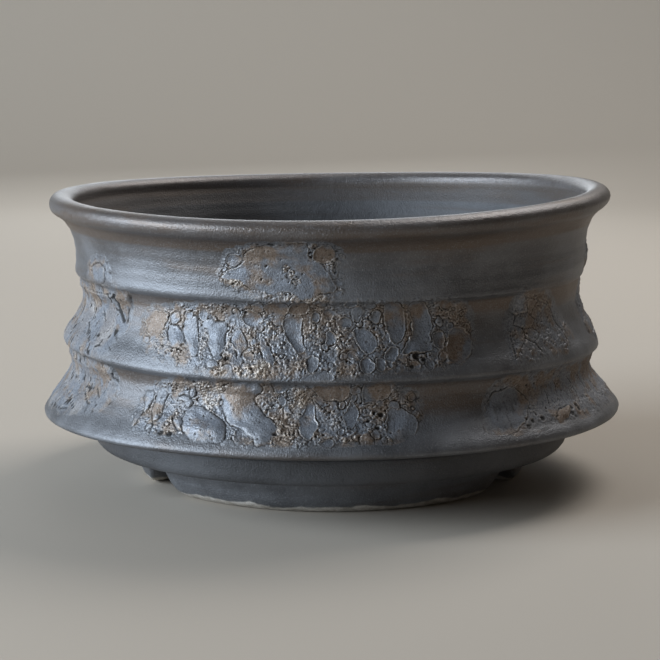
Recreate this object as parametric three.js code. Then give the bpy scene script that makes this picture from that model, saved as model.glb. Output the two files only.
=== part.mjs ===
// A hand-thrown flower pot. A ridged wall with a rolled lip stands on a floor slab with a drain hole,
// the slab stands on three feet, and twelve patches of crackled slip are laid on the wall.
// Millimetres, +Z up. The front is -Y, and the origin is on the ground under the middle of the pot.
import * as THREE from 'three';

// Driving dimensions: feet
const FOOT_COUNT = 3;
const FOOT_HEIGHT = 9.2;
const SOLE_RADIUS = 49.5;
const SOLE_WIDTH = 8;
const FOOT_FLARE = 3.3;
const NOTCH_GAP = 7.2;

// Driving dimensions: floor slab
const FLOOR_THICKNESS = 6.8;
const BELLY_RADIUS = 62.2;
const BELLY_ROUND = 2.4;
const DRAIN_RADIUS = 12;

// Driving dimensions: wall. A tier's height runs from the edge of one ridge to the edge of the next.
const WALL_THICKNESS = 4.9;
const SEAT_WIDTH = 5;
const SKIRT_HEIGHT = 3.2;
const LOWER_RIDGE_RADIUS = 75;
const LOWER_TIER_HEIGHT = 17;
const LOWER_WAIST_RADIUS = 67.3;
const UPPER_RIDGE_RADIUS = 69.9;
const UPPER_TIER_HEIGHT = 18;
const UPPER_WAIST_RADIUS = 64;
const COLLAR_RADIUS = 66.8;
const COLLAR_HEIGHT = 17.3;
const COLLAR_HOLLOW = 0.8;
const STEP_HEIGHT = 4;
const LIP_RADIUS = 72.5;
const LIP_WIDTH = 6.2;
const LIP_HEIGHT = 5;
const LIP_START = -62;
const LIP_END = 195;

// Curve handles, as shares of the height that the curve climbs, and the two rounds of the skirt
const FLARE_LEAVES_RIDGE = 0.23;
const FLARE_NEARS_WAIST = 0.46;
const STEP_TURNS = 0.7;
const COLLAR_LEAVES_EDGE = 0.36;
const COLLAR_NEARS_LIP = 0.72;
const SKIRT_LEAVES_SLAB = 0.55;
const SKIRT_NEARS_RIDGE = 0.4;
const SKIRT_FILLET = 2;
const RIDGE_NOSE = 1;
const BELLY_TURNS = 0.25;
const LINING_AT_COLLAR = 0.5;
const LINING_ROUND = 1.2;
const LINING_TUCK = 0.3;

// Driving dimensions: slip patches
const CRUST_THICKNESS = 1.3;
const CRUST_EDGE = 0.5;
const CRUST_GAP = 0.3;
const CRUST_CORNER_ANGLE = 5;
const CRUST_FALL_POWER = 5;

// Facets
const POT_SIDES = 48;
const FOOT_COLUMNS = 12;
const FOOT_ROWS = 6;
const SKIRT_ROWS = 6;
const LOWER_FLARE_ROWS = 9;
const UPPER_FLARE_ROWS = 8;
const STEP_ROWS = 3;
const COLLAR_ROWS = 7;
const LIP_ROWS = 9;
const LINING_ROWS = 14;

// Heights that follow from the stack of pieces
const FLOOR_Z = FOOT_HEIGHT + FLOOR_THICKNESS;
const LOWER_RIDGE_Z = FLOOR_Z + SKIRT_HEIGHT;
const UPPER_RIDGE_Z = LOWER_RIDGE_Z + LOWER_TIER_HEIGHT;
const COLLAR_Z = UPPER_RIDGE_Z + UPPER_TIER_HEIGHT;
const LIP_Z = COLLAR_Z + COLLAR_HEIGHT;

const radians = THREE.MathUtils.degToRad;
const point = (radius, z) => new THREE.Vector2(radius, z);

// A flared tier: out at its ridge below, in at its waist, then a short step out to the ridge above.
function tier(ridgeRadius, ridgeZ, waistRadius, nextRadius, nextZ) {
  const waistZ = nextZ - STEP_HEIGHT;
  const rise = waistZ - ridgeZ;
  const flare = new THREE.CubicBezierCurve(
    point(ridgeRadius, ridgeZ),
    point(ridgeRadius, ridgeZ + FLARE_LEAVES_RIDGE * rise),
    point(waistRadius, ridgeZ + FLARE_NEARS_WAIST * rise),
    point(waistRadius, waistZ),
  );
  const step = new THREE.QuadraticBezierCurve(
    point(waistRadius, waistZ),
    point(waistRadius, waistZ + STEP_TURNS * STEP_HEIGHT),
    point(nextRadius, nextZ),
  );
  return { flare, step, waistZ };
}

const lowerTier = tier(
  LOWER_RIDGE_RADIUS, LOWER_RIDGE_Z, LOWER_WAIST_RADIUS, UPPER_RIDGE_RADIUS, UPPER_RIDGE_Z,
);
const upperTier = tier(
  UPPER_RIDGE_RADIUS, UPPER_RIDGE_Z, UPPER_WAIST_RADIUS, COLLAR_RADIUS, COLLAR_Z,
);

// The underside of the lower ridge, from the slab's edge out to the ridge.
const skirt = new THREE.CubicBezierCurve(
  point(BELLY_RADIUS, FLOOR_Z),
  point(BELLY_RADIUS + SKIRT_FILLET, FLOOR_Z + SKIRT_LEAVES_SLAB * SKIRT_HEIGHT),
  point(LOWER_RIDGE_RADIUS - RIDGE_NOSE, FLOOR_Z + SKIRT_NEARS_RIDGE * SKIRT_HEIGHT),
  point(LOWER_RIDGE_RADIUS, LOWER_RIDGE_Z),
);

// The lip is a rolled oval. It starts under its overhang and ends on the inside of the pot.
const lip = new THREE.EllipseCurve(
  LIP_RADIUS - LIP_WIDTH / 2, LIP_Z, LIP_WIDTH / 2, LIP_HEIGHT / 2, radians(LIP_START), radians(LIP_END),
);

const collar = new THREE.CubicBezierCurve(
  point(COLLAR_RADIUS, COLLAR_Z),
  point(COLLAR_RADIUS - COLLAR_HOLLOW, COLLAR_Z + COLLAR_LEAVES_EDGE * COLLAR_HEIGHT),
  point(COLLAR_RADIUS - COLLAR_HOLLOW, COLLAR_Z + COLLAR_NEARS_LIP * COLLAR_HEIGHT),
  lip.getPoint(0),
);

// The smooth inside, a wall's thickness in from the collar and the waists, down to the floor.
const lining = new THREE.SplineCurve([
  lip.getPoint(1),
  point(COLLAR_RADIUS - WALL_THICKNESS, COLLAR_Z + LINING_AT_COLLAR * COLLAR_HEIGHT),
  point(UPPER_WAIST_RADIUS - WALL_THICKNESS, upperTier.waistZ),
  point(LOWER_WAIST_RADIUS - WALL_THICKNESS, lowerTier.waistZ),
  point(BELLY_RADIUS - LINING_TUCK * SEAT_WIDTH, FLOOR_Z + LINING_ROUND * SKIRT_HEIGHT),
  point(BELLY_RADIUS - SEAT_WIDTH, FLOOR_Z),
]);

// Turns a closed outline of (radius, height) points about the pot's axis.
function turned(outline) {
  const geometry = new THREE.LatheGeometry([...outline, outline[0]], POT_SIDES);
  return geometry.rotateX(Math.PI / 2);
}

// Bends a block round the pot. place(along, inward, up) takes three numbers from 0 to 1
// and gives a radius, an angle from the front towards +X, and a height.
function bent(columns, rows, place) {
  const geometry = new THREE.BoxGeometry(1, 1, 1, columns, 1, rows);
  const corners = geometry.attributes.position;
  for (let i = 0; i < corners.count; i += 1) {
    const { radius, angle, z } = place(corners.getX(i) + 0.5, corners.getY(i) + 0.5, corners.getZ(i) + 0.5);
    corners.setXYZ(i, radius * Math.sin(angle), -radius * Math.cos(angle), z);
  }
  geometry.computeVertexNormals();
  return geometry;
}

function wallGeometry() {
  const outside = [
    ...skirt.getPoints(SKIRT_ROWS),
    ...lowerTier.flare.getPoints(LOWER_FLARE_ROWS).slice(1),
    ...lowerTier.step.getPoints(STEP_ROWS).slice(1),
    ...upperTier.flare.getPoints(UPPER_FLARE_ROWS).slice(1),
    ...upperTier.step.getPoints(STEP_ROWS).slice(1),
    ...collar.getPoints(COLLAR_ROWS).slice(1),
    ...lip.getPoints(LIP_ROWS).slice(1),
  ];
  return turned([...outside, ...lining.getPoints(LINING_ROWS).slice(1)]);
}

function slabGeometry() {
  const belly = new THREE.CubicBezierCurve(
    point(BELLY_RADIUS - BELLY_ROUND, FOOT_HEIGHT),
    point(BELLY_RADIUS, FOOT_HEIGHT),
    point(BELLY_RADIUS, FOOT_HEIGHT + BELLY_TURNS * FLOOR_THICKNESS),
    point(BELLY_RADIUS, FLOOR_Z),
  );
  return turned([point(DRAIN_RADIUS, FOOT_HEIGHT), ...belly.getPoints(5), point(DRAIN_RADIUS, FLOOR_Z)]);
}

// One foot is a stretch of the foot ring. Its ends are quarter rounds as tall as the foot,
// so the notch between two feet is narrow under the slab and wide on the ground.
function footGeometry(middleAngle) {
  return bent(FOOT_COLUMNS, FOOT_ROWS, (along, inward, up) => {
    const climb = up * Math.PI / 2;
    const z = FOOT_HEIGHT * (1 - Math.cos(climb));
    const radius = SOLE_RADIUS + FOOT_FLARE * z / FOOT_HEIGHT - inward * SOLE_WIDTH;
    const notch = NOTCH_GAP / 2 + FOOT_HEIGHT * (1 - Math.sin(climb));
    const reach = Math.PI / FOOT_COUNT - Math.asin(notch / radius);
    return { radius, angle: middleAngle + (2 * along - 1) * reach, z };
  });
}

// A slip patch lies on some of the rows of a wall curve. It thins towards its edges and has round corners.
function crustGeometry(curve, rows, low, high, from, to) {
  const columns = Math.ceil((to - from) * POT_SIDES / 360);
  const middle = radians((from + to) / 2);
  const fall = (share) => 1 - Math.abs(2 * share - 1) ** CRUST_FALL_POWER;
  return bent(columns, high - low, (along, inward, up) => {
    const share = THREE.MathUtils.lerp(low, high, up) / rows;
    const on = curve.getPoint(share);
    const heading = curve.getTangent(share);
    const cover = CRUST_EDGE + (CRUST_THICKNESS - CRUST_EDGE) * fall(along) * fall(up);
    const lift = CRUST_GAP + (1 - inward) * cover;
    const corner = radians(CRUST_CORNER_ANGLE) * (1 - fall(up));
    const reach = radians((to - from) / 2) - corner;
    return {
      radius: on.x + lift * heading.y,
      angle: middle + (2 * along - 1) * reach,
      z: on.y - lift * heading.x,
    };
  });
}

const pot = new THREE.Group();

function addPiece(name, geometry, color, roughness, metalness) {
  const mesh = new THREE.Mesh(geometry, new THREE.MeshStandardMaterial({ color, roughness, metalness }));
  mesh.name = name;
  pot.add(mesh);
}

addPiece('pot_wall', wallGeometry(), 0x4a4c51, 0.45, 0.35);
addPiece('floor_slab', slabGeometry(), 0x3e3f43, 0.5, 0.3);

// Feet, counted from the front towards +X.
['foot_front', 'foot_rear_right', 'foot_rear_left'].forEach((name, index) => {
  addPiece(name, footGeometry(index * 2 * Math.PI / FOOT_COUNT), 0x55524d, 0.6, 0.2);
});

// Slip patches by tier: the rows of the wall that they cover, and where each starts and ends round the pot,
// in degrees from the front towards +X.
const crustTiers = [
  { label: 'lower', curve: lowerTier.flare, rows: LOWER_FLARE_ROWS, low: 2, high: 9,
    spans: { front: [-44, 19], right: [32, 104], back: [138, 216], left: [-122, -47] } },
  { label: 'upper', curve: upperTier.flare, rows: UPPER_FLARE_ROWS, low: 1, high: 8,
    spans: { front: [-45, 33], right: [41, 112], back: [146, 224], left: [-118, -47.5] } },
  { label: 'collar', curve: collar, rows: COLLAR_ROWS, low: 0, high: 5,
    spans: { front: [-24, 3], right: [78, 112], back: [160, 200], left: [-64, -50] } },
];

for (const { label, curve, rows, low, high, spans } of crustTiers) {
  for (const [side, [from, to]] of Object.entries(spans)) {
    const geometry = crustGeometry(curve, rows, low, high, from, to);
    addPiece(`crust_${label}_${side}`, geometry, 0x6a6058, 0.7, 0.15);
  }
}

export default pot;
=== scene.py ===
import math
import random

import bmesh
import bpy
import numpy as np
from mathutils import Matrix, Vector, noise


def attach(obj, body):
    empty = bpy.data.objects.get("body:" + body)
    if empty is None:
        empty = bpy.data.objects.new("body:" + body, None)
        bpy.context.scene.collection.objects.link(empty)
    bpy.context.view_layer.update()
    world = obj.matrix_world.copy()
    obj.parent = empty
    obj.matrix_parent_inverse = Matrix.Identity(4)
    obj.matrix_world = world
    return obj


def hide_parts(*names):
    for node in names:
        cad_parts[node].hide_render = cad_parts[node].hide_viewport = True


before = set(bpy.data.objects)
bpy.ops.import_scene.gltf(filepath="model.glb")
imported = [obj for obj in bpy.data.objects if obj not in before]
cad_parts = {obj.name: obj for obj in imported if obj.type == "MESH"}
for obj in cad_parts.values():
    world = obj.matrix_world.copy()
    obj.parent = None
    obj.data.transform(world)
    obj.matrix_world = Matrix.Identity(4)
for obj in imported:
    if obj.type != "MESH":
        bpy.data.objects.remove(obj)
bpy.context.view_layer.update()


# The wall is one lump of stoneware thrown on the wheel: two tiers flaring into ridges, a collar and a rolled
# lip, under a dark metallic glaze that is browner where it is thin. Its concave turns are browner and darker
# as painted shade. Sizes are in millimetres, and each point is its distance from the pot's middle line and
# its height.
MM = 0.001
BELLY_TOP = (62.2, 16.0)
LOWER_RIDGE = (75.6, 19.2)
LOWER_WAIST = (67.3, 32.2)
UPPER_RIDGE = (69.9, 36.2)
UPPER_WAIST = (64.0, 50.2)
COLLAR_EDGE = (66.8, 54.2)
LIP_UNDERSIDE = (70.86, 69.29)
LIP_MIDDLE = (69.4, 71.5)
LIP_HALF_WIDTH = 3.1
LIP_HALF_HEIGHT = 2.5
WALL_FOOT = (49.0, 15.9)
POT_TOP = 74.0
LINE_SPACING = 0.2
EDGE_ROUNDING = 0.6
WALL_SPACING = 0.8
WALL_SIDES = 300
TURN_REACH = 1.4
SHARP_TURN = 0.9
UNDERSIDE_TOP = 18.6
LIP_BROWN = 0.6
LIP_BROWN_START = 66.29
LIP_GLOSS = 0.45
LIP_GLOSS_START = 70.0
LIP_GLOSS_FULL = 72.5
GLAZE_METALLIC = 0.5
GLAZE_DARK = (0.095, 0.098, 0.107, 1)
GLAZE_LIGHT = (0.180, 0.187, 0.203, 1)
GLAZE_BROWN = (0.125, 0.097, 0.079, 1)
GLAZE_PAINTED_SHADE = (0.050, 0.049, 0.050, 1)
GLAZE_PAINTED_GLINT = (0.270, 0.278, 0.295, 1)


def smooth_step(low, high, value):
    """0 below low, 1 above high and a smooth ramp between them."""
    part = np.clip((value - low) / (high - low), 0, 1)
    return part * part * (3 - 2 * part)


def curve(*handles):
    """Points along the Bezier curve with these handles."""
    part = np.linspace(0, 1, 80)[:, None]
    rows = [np.array(handle) + 0 * part for handle in handles]
    while len(rows) > 1:
        rows = [a + (b - a) * part for a, b in zip(rows, rows[1:])]
    return rows[0]


def even_line(line, spacing):
    """The same line with points a fixed distance apart."""
    lengths = np.hypot(*np.diff(line, axis=0).T)
    travelled = np.concatenate([[0], np.cumsum(lengths)])
    stops = np.linspace(0, travelled[-1], round(travelled[-1] / spacing) + 1)
    return np.column_stack([np.interp(stops, travelled, line[:, k]) for k in (0, 1)])


def rounded_line(line, reach):
    """The line with its corners rounded off over a reach in millimetres."""
    count = round(reach / LINE_SPACING)
    weights = np.hanning(2 * count + 3)[1:-1]
    weights /= weights.sum()
    padded = np.pad(line, ((count, count), (0, 0)), mode="edge")
    return np.column_stack([np.convolve(padded[:, k], weights, "valid") for k in (0, 1)])


def hand_thrown(radius, angle, height):
    """Where a point of the true shape lies on the thrown pot, in metres. The angle is 0 at the front."""
    rim = smooth_step(COLLAR_EDGE[1], POT_TOP, height)
    ridge = math.exp(-((height - UPPER_RIDGE[1]) / 7) ** 2)
    skirt = math.exp(-((height - LOWER_RIDGE[1]) / 5) ** 2)
    rise = rim * (0.55 + 1.1 * math.sin(angle) - 0.9 * math.cos(2 * angle) - 0.25 * math.cos(angle))
    rise += ridge * (-0.6 * math.sin(angle) - 0.5 * math.cos(angle) + 0.3 * math.sin(3 * angle + 0.6))
    rise += skirt * (0.4 * math.sin(angle) + 0.4 * math.cos(2 * angle) - 0.3)
    swell = 0.15 * math.sin(2 * angle + 0.7) + 0.15 * math.sin(3 * angle + 2.1)
    swell += smooth_step(UPPER_WAIST[1], LIP_UNDERSIDE[1], height) * (0.3 - 0.6 * math.sin(angle))
    swell += 0.05 * math.sin(math.tau * height / 3.3 + angle + 2 * math.sin(height / 5))
    swell += 0.35 * noise.noise((radius * math.sin(angle) / 22, radius * math.cos(angle) / 22, height / 9))
    # At the right the collar's edge has sunk in, and the waist under it has filled out.
    sagged = max(0.0, math.sin(angle)) ** 3
    swell -= 1.3 * sagged * math.exp(-((height - COLLAR_EDGE[1]) / 2.4) ** 2)
    swell += 0.7 * sagged * math.exp(-((height - UPPER_WAIST[1] - 2) / 1.6) ** 2)
    across = (radius + swell) * MM
    return Vector((across * math.sin(angle), -across * math.cos(angle), (height + rise) * MM))


def spin_thrown(bm, ring):
    """Spins a closed ring of true points round the pot, and throws them."""
    edges = [bm.edges.new(pair) for pair in zip(ring, ring[1:] + ring[:1])]
    bmesh.ops.spin(bm, geom=ring + edges, axis=(0, 0, 1), cent=(0, 0, 0), angle=math.tau, steps=WALL_SIDES,
                   use_merge=True)
    bmesh.ops.recalc_face_normals(bm, faces=bm.faces[:])
    for vert in bm.verts:
        x, y, height = vert.co
        vert.co = hand_thrown(math.hypot(x, y), math.atan2(x, -y), height)


def new_object(bm, name, material):
    """An object with a smooth mesh of one material."""
    mesh = bpy.data.meshes.new(name)
    bm.to_mesh(mesh)
    bm.free()
    mesh.shade_smooth()
    mesh.materials.append(material)
    made = bpy.data.objects.new(name, mesh)
    bpy.context.scene.collection.objects.link(made)
    return made


def finish_piece(bm, name, material, node):
    """Makes the piece that stands for a CAD node."""
    piece = new_object(bm, name, material)
    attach(piece, "root")
    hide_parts(node)


def set_inputs(tree, node, inputs):
    """Sets a shader node's inputs, or links them."""
    for key, value in inputs.items():
        if isinstance(value, bpy.types.NodeSocket):
            tree.links.new(value, node.inputs[key])
        else:
            node.inputs[key].default_value = value


def add_node(tree, kind, inputs, **settings):
    """A new shader node with its inputs and settings."""
    made = tree.nodes.new(kind)
    for key, value in settings.items():
        setattr(made, key, value)
    set_inputs(tree, made, inputs)
    return made


def grain(tree, place, scale, detail=2.0, roughness=0.5):
    """A noise pattern from 0 to 1, with scale in blobs to the metre."""
    inputs = {"Vector": place, "Scale": scale, "Detail": detail, "Roughness": roughness}
    return add_node(tree, "ShaderNodeTexNoise", inputs).outputs[0]


def ramp(tree, value, low, high, bottom=0.0, top=1.0):
    """Takes low to high of a value to bottom to top, smoothly."""
    inputs = {"Value": value, "From Min": low, "From Max": high, "To Min": bottom, "To Max": top}
    return add_node(tree, "ShaderNodeMapRange", inputs, interpolation_type="SMOOTHSTEP").outputs[0]


def maths(tree, operation, first, second):
    """One sum on two values."""
    return add_node(tree, "ShaderNodeMath", {0: first, 1: second}, operation=operation).outputs[0]


def blend_colour(tree, factor, first, second):
    """The first colour at factor 0 and the second at 1."""
    # The colour sockets come after the number and vector ones of the same name.
    return add_node(tree, "ShaderNodeMix", {0: factor, 6: first, 7: second}, data_type="RGBA").outputs[2]


def bump(tree, height, depth, normal=None):
    """A normal for relief of this depth in millimetres."""
    inputs = {"Height": height, "Distance": depth * MM, "Strength": 1.0}
    if normal is not None:
        inputs["Normal"] = normal
    return add_node(tree, "ShaderNodeBump", inputs).outputs[0]


def attribute(tree, name):
    """A value that the mesh carries."""
    return add_node(tree, "ShaderNodeAttribute", {}, attribute_name=name).outputs["Fac"]


def new_finish(name):
    """A material with an empty tree but for its shader."""
    material = bpy.data.materials.new(name)
    material.use_nodes = True
    tree = material.node_tree
    return material, tree, tree.nodes["Principled BSDF"]


def glaze_layers(tree):
    """The glaze's colour, roughness and normal: painted shade and more roughness where the mesh marks 1,
    glossier below 0.
    """
    place = add_node(tree, "ShaderNodeTexCoord", {}).outputs["Object"]
    band_place = add_node(tree, "ShaderNodeMapping", {"Vector": place, "Scale": (18, 18, 110)}).outputs[0]
    streak_place = add_node(tree, "ShaderNodeMapping", {"Vector": place, "Scale": (14, 14, 330)}).outputs[0]
    bands = grain(tree, band_place, 1.0, 4.0, 0.55)
    streaks = grain(tree, streak_place, 1.0, 3.0)
    clouds = grain(tree, place, 60, 6.0, 0.65)
    specks = grain(tree, place, 2300, 3.0, 0.65)
    peel = grain(tree, place, 650, 3.0, 0.6)
    sparkle = grain(tree, place, 2600, 2.0)
    colour = blend_colour(tree, ramp(tree, clouds, 0.32, 0.68), GLAZE_DARK, GLAZE_LIGHT)
    brown = maths(tree, "MULTIPLY", ramp(tree, bands, 0.50, 0.68), 0.5)
    brown = maths(tree, "MAXIMUM", brown, maths(tree, "MULTIPLY", ramp(tree, streaks, 0.55, 0.75), 0.4))
    # Concave turns are browner and darker: painted shade.
    brown = maths(tree, "ADD", brown, maths(tree, "MULTIPLY", attribute(tree, "hollow"), 0.8))
    colour = blend_colour(tree, ramp(tree, brown, 0.0, 1.0), colour, GLAZE_BROWN)
    # Pale specks over the glaze are painted glints.
    colour = blend_colour(tree, ramp(tree, specks, 0.52, 0.72, 0.0, 0.5), colour, GLAZE_PAINTED_GLINT)
    rough = ramp(tree, clouds, 0.3, 0.7, 0.42, 0.53)
    rough = maths(tree, "ADD", rough, ramp(tree, specks, 0.4, 0.7, -0.03, 0.05))
    shade_and_roughness = attribute(tree, "shade_and_roughness")
    # Where marked, the colour is darkened as painted shade.
    colour = blend_colour(tree, maths(tree, "MULTIPLY", shade_and_roughness, 0.45), colour, GLAZE_PAINTED_SHADE)
    rough = maths(tree, "ADD", rough, maths(tree, "MULTIPLY", shade_and_roughness, 0.18))
    normal = bump(tree, peel, 0.11)
    normal = bump(tree, streaks, 0.05, normal)
    normal = bump(tree, sparkle, 0.11, normal)
    return colour, rough, normal


dark_glaze, tree, shader = new_finish("dark_glaze")
colour, rough, normal = glaze_layers(tree)
finish = {"Base Color": colour, "Roughness": rough, "Metallic": GLAZE_METALLIC, "Normal": normal}
set_inputs(tree, shader, finish)

outside = np.concatenate([
    curve(BELLY_TOP, (64.2, 17.76), (74.0, 17.28), LOWER_RIDGE),
    curve(LOWER_RIDGE, (75.0, 22.19), (67.3, 25.18), LOWER_WAIST)[1:],
    curve(LOWER_WAIST, (67.3, 35.0), UPPER_RIDGE)[1:],
    curve(UPPER_RIDGE, (69.9, 39.42), (64.0, 42.64), UPPER_WAIST)[1:],
    curve(UPPER_WAIST, (64.0, 53.0), COLLAR_EDGE)[1:],
    curve(COLLAR_EDGE, (66.0, 60.43), (66.0, 66.66), LIP_UNDERSIDE)[1:],
])
lip_turn = np.radians(np.linspace(-62, 195, 60))
lip_across = LIP_MIDDLE[0] + LIP_HALF_WIDTH * np.cos(lip_turn)
lip_up = LIP_MIDDLE[1] + LIP_HALF_HEIGHT * np.sin(lip_turn)
lip = np.column_stack([lip_across, lip_up])
lining = curve(tuple(lip[-1]), (62.0, 63.0), (54.5, 51.0), (68.0, 33.0), (62.0, 16.3), WALL_FOOT)
outline = np.concatenate([outside, lip[1:], lining[1:]])
outline = rounded_line(even_line(outline, LINE_SPACING), EDGE_ROUNDING)
headings = np.unwrap(np.arctan2(*np.gradient(outline, axis=0).T[::-1]))
turn_reach = round(TURN_REACH / LINE_SPACING)
turns = np.zeros(len(outline))
turns[turn_reach:-turn_reach] = headings[2 * turn_reach:] - headings[:-2 * turn_reach]

bm = bmesh.new()
hollow_layer = bm.verts.layers.float.new("hollow")
shade_and_roughness_layer = bm.verts.layers.float.new("shade_and_roughness")
stride = round(WALL_SPACING / LINE_SPACING)
ring = []
lining_start = len(outline) - len(even_line(lining, WALL_SPACING)) * stride
for k in range(0, len(outline), stride):
    across, up = outline[k]
    vert = bm.verts.new((0, -across, up))
    # The lining and the underside get painted shade and more roughness; the lip gets more gloss.
    if k > lining_start or up < UNDERSIDE_TOP:
        vert[shade_and_roughness_layer] = 1.0
    else:
        vert[shade_and_roughness_layer] = -LIP_GLOSS * smooth_step(LIP_GLOSS_START, LIP_GLOSS_FULL, up)
    # Concave turns get painted shade as browner glaze; the lip is browner where its glaze is thin.
    thin_glaze = LIP_BROWN if up > LIP_BROWN_START else 0.0
    vert[hollow_layer] = min(1.0, max(0.0, -turns[k] / SHARP_TURN) + thin_glaze)
    ring.append(vert)
spin_thrown(bm, ring)
finish_piece(bm, "pot_wall_thrown", dark_glaze, "pot_wall")


# The floor slab closes the wall's foot. It is the same stoneware under the same glaze, with a belly rounded
# by a sponge and a drain hole cut with a knife.
FLOOR_UNDER = 9.2
FLOOR_TOP = 16.0
DRAIN_RADIUS = 12.0
DRAIN_ROUNDING = 1.4
BELLY_START = 59.8
SLAB_SPACING = 1.2

drain = [(DRAIN_RADIUS, FLOOR_TOP - DRAIN_ROUNDING), (DRAIN_RADIUS, FLOOR_UNDER + DRAIN_ROUNDING)]
slab_line = np.concatenate([
    curve((DRAIN_RADIUS + DRAIN_ROUNDING, FLOOR_TOP), (DRAIN_RADIUS, FLOOR_TOP), drain[0]),
    curve(drain[1], (DRAIN_RADIUS, FLOOR_UNDER), (DRAIN_RADIUS + DRAIN_ROUNDING, FLOOR_UNDER)),
    curve((BELLY_START, FLOOR_UNDER), (62.2, FLOOR_UNDER), (62.2, 10.9), BELLY_TOP),
    curve(BELLY_TOP, (DRAIN_RADIUS + DRAIN_ROUNDING, FLOOR_TOP))[1:-1],
])
slab_line = even_line(slab_line, SLAB_SPACING)

bm = bmesh.new()
shade_and_roughness_layer = bm.verts.layers.float.new("shade_and_roughness")
ring = [bm.verts.new((0, -across, up)) for across, up in slab_line]
# The whole slab, inside floor and underside, gets painted shade and more roughness.
for vert in ring:
    vert[shade_and_roughness_layer] = 1.0
spin_thrown(bm, ring)
finish_piece(bm, "floor_slab_thrown", dark_glaze, "floor_slab")


# The three feet are one ring of clay under the slab, cut by three arched notches. The glaze runs down them
# and stops at a wiped line, so the soles are bare pale clay.
FOOT_TOP = 9.8
FOOT_HEIGHT = 9.2
SOLE_RADIUS = 49.5
FOOT_FLARE = 3.3
FOOT_WIDTH = 8.0
FOOT_EDGE = 0.9
NOTCH_HALF = 3.6
FOOT_HALF_TURN = 60
FOOT_COLUMNS = 8
FOOT_ROWS = 18
FOOT_STEPS = 110
GLAZE_RUN = 4.2
GLAZE_EDGE = 0.6
FEET = {"foot_front": 0, "foot_rear_right": 120, "foot_rear_left": 240}
BARE_CLAY = (0.52, 0.49, 0.45, 1)
CLAY_SHADE = (0.34, 0.31, 0.27, 1)

foot_clay, tree, shader = new_finish("foot_clay")
colour, rough, normal = glaze_layers(tree)
place = add_node(tree, "ShaderNodeTexCoord", {}).outputs["Object"]
height = add_node(tree, "ShaderNodeSeparateXYZ", {"Vector": place}).outputs["Z"]
runs = maths(tree, "MULTIPLY", grain(tree, place, 90, 3.0, 0.6), GLAZE_RUN * MM)
bare = ramp(tree, maths(tree, "SUBTRACT", runs, height), 0.0, GLAZE_EDGE * MM)
clay = blend_colour(tree, ramp(tree, grain(tree, place, 420, 4.0, 0.7), 0.35, 0.65), CLAY_SHADE, BARE_CLAY)
set_inputs(tree, shader, {
    "Base Color": blend_colour(tree, bare, colour, clay),
    "Roughness": ramp(tree, bare, 0, 1, 0.50, 0.85),
    "Metallic": ramp(tree, bare, 0, 1, GLAZE_METALLIC, 0.0),
    "Normal": bump(tree, grain(tree, place, 1500, 4.0, 0.7), 0.08, normal),
})

for node, middle in FEET.items():
    bm = bmesh.new()
    bmesh.ops.create_grid(bm, x_segments=FOOT_COLUMNS, y_segments=FOOT_ROWS, size=0.5)
    for vert in bm.verts:
        vert.co = (0, -(SOLE_RADIUS + vert.co.x), vert.co.y)
    bmesh.ops.rotate(bm, verts=bm.verts[:], cent=(0, 0, 0), matrix=Matrix.Rotation(-1, 3, "Z"))
    bmesh.ops.spin(bm, geom=bm.verts[:] + bm.edges[:] + bm.faces[:], axis=(0, 0, 1), cent=(0, 0, 0),
                   angle=2.0, steps=FOOT_STEPS, use_merge=False)
    bmesh.ops.recalc_face_normals(bm, faces=bm.faces[:])
    for vert in bm.verts:
        x, y, up = vert.co
        across = 2 * (math.hypot(x, y) - SOLE_RADIUS)
        along = math.atan2(x, -y)
        tall = up + 0.5
        inset = FOOT_EDGE * abs(across) ** 5
        height = FOOT_TOP * tall + inset * max(0.0, 1 - 4 * tall)
        outer = SOLE_RADIUS + FOOT_FLARE * height / FOOT_HEIGHT
        narrow = FOOT_EDGE * max(0.0, 1 - 3 * tall) ** 3
        radius = outer - FOOT_WIDTH / 2 + across * (FOOT_WIDTH / 2 - narrow)
        arch = 1 - min(1.0, height / FOOT_HEIGHT)
        notch = NOTCH_HALF + FOOT_HEIGHT * (1 - math.sqrt(1 - arch * arch)) + 0.7 * inset
        reach = math.radians(FOOT_HALF_TURN) - math.asin(notch / radius)
        vert.co = hand_thrown(radius, math.radians(middle) + along * reach, height)
    finish_piece(bm, node + "_cut", foot_clay, node)


# The slip patches are thick clay slip daubed on the tiers before glazing. In the fire it shrank into lumps
# and burst into smooth pans with raised rims, beds of beads and small pits. The glaze is golden on the beads.
SLIP_BASE = 0.5
SLIP_BURIED = -0.12
SLIP_LEAST = 0.10
SLIP_BACK = -0.9
SLIP_MARGIN = 2.0
SLIP_REACH = 3.0
SLIP_METALLIC = 0.32
PIT_SPACING = 0.35
NORMAL_ROUNDING = 1.6
CREVICE_REACH = 0.5
FRONT_GRAIN = 0.17
SIDE_GRAIN = 0.25
BACK_GRAIN = 2.0
VIEW_DISTANCE = 544.0
SLIP_GREY = (0.176, 0.194, 0.228, 1)
SLIP_BROWN = (0.178, 0.129, 0.093, 1)
SLIP_PAINTED_SHADE = (0.010, 0.009, 0.009, 1)
BEAD_GOLD = (0.38, 0.265, 0.165, 1)
BEAD_CREAM = (0.60, 0.52, 0.44, 1)
CREST_PAINTED_HIGHLIGHT = (0.46, 0.43, 0.40, 1)

outside_line = outline[:len(even_line(outside, LINE_SPACING))]
line_tangents = rounded_line(np.gradient(outside_line, axis=0), NORMAL_ROUNDING)
line_normals = np.column_stack([line_tangents[:, 1], -line_tangents[:, 0]])
line_normals /= np.hypot(*line_normals.T)[:, None]
line_stops = np.arange(len(outside_line)) * LINE_SPACING
above_ridge = outside_line[:, 1] > LOWER_RIDGE[1]


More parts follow.
